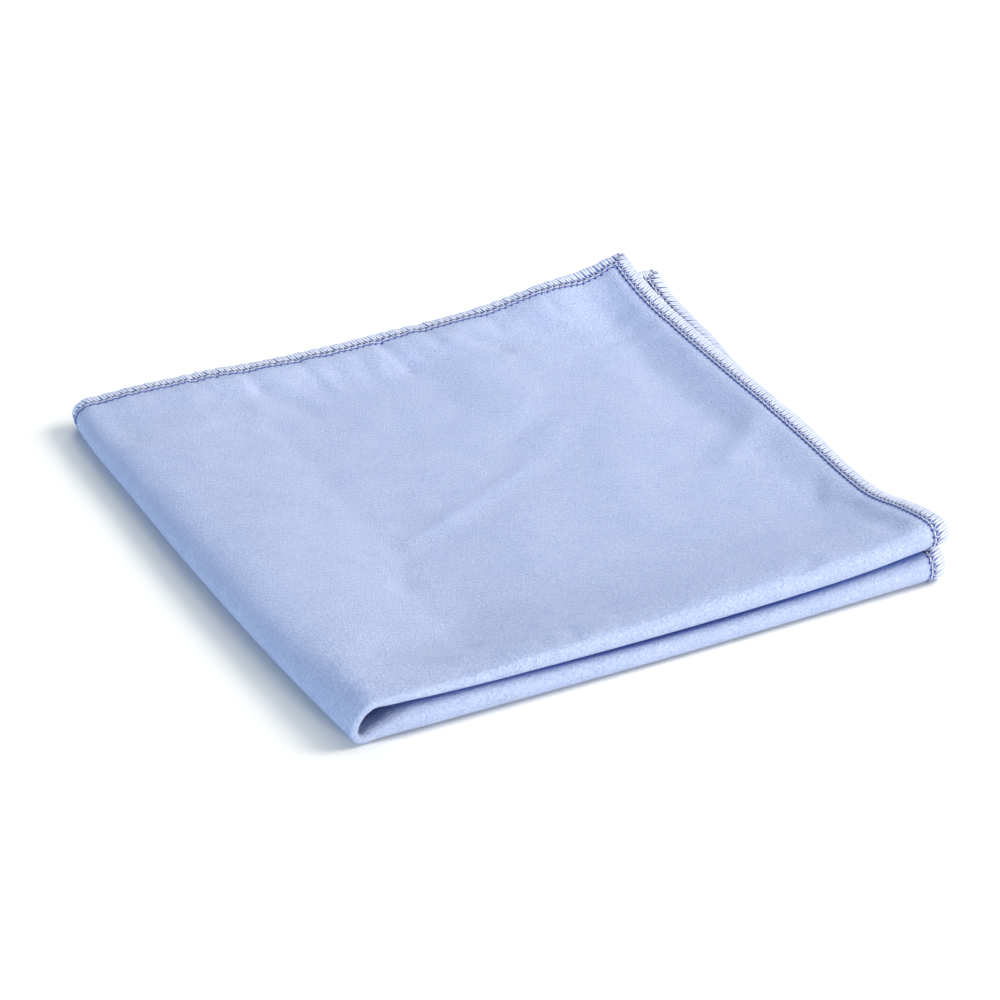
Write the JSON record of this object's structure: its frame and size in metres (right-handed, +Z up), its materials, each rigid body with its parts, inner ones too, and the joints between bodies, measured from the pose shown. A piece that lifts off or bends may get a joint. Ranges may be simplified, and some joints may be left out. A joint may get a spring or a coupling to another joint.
{
  "type": "microfibre cloth",
  "caption": "Thin square cleaning cloth with an overlocked edge all round, folded over and over again into a smaller square and lying flat.",
  "frame": {"origin": "centre of the folded cloth's box, on the face that it rests on", "axes": "+Z up through the folded layers, +X along the front fold towards the hemmed right edge, +Y towards the hemmed back edge"},
  "size_m": [0.2099, 0.2043, 0.0212],
  "materials": {
    "microfibre": "brushed, suede-like, matt",
    "overlock_thread": "soft spun thread, matt"
  },
  "bodies": {
    "root": {"cloth": "microfibre"}
  },
  "joints": []
}
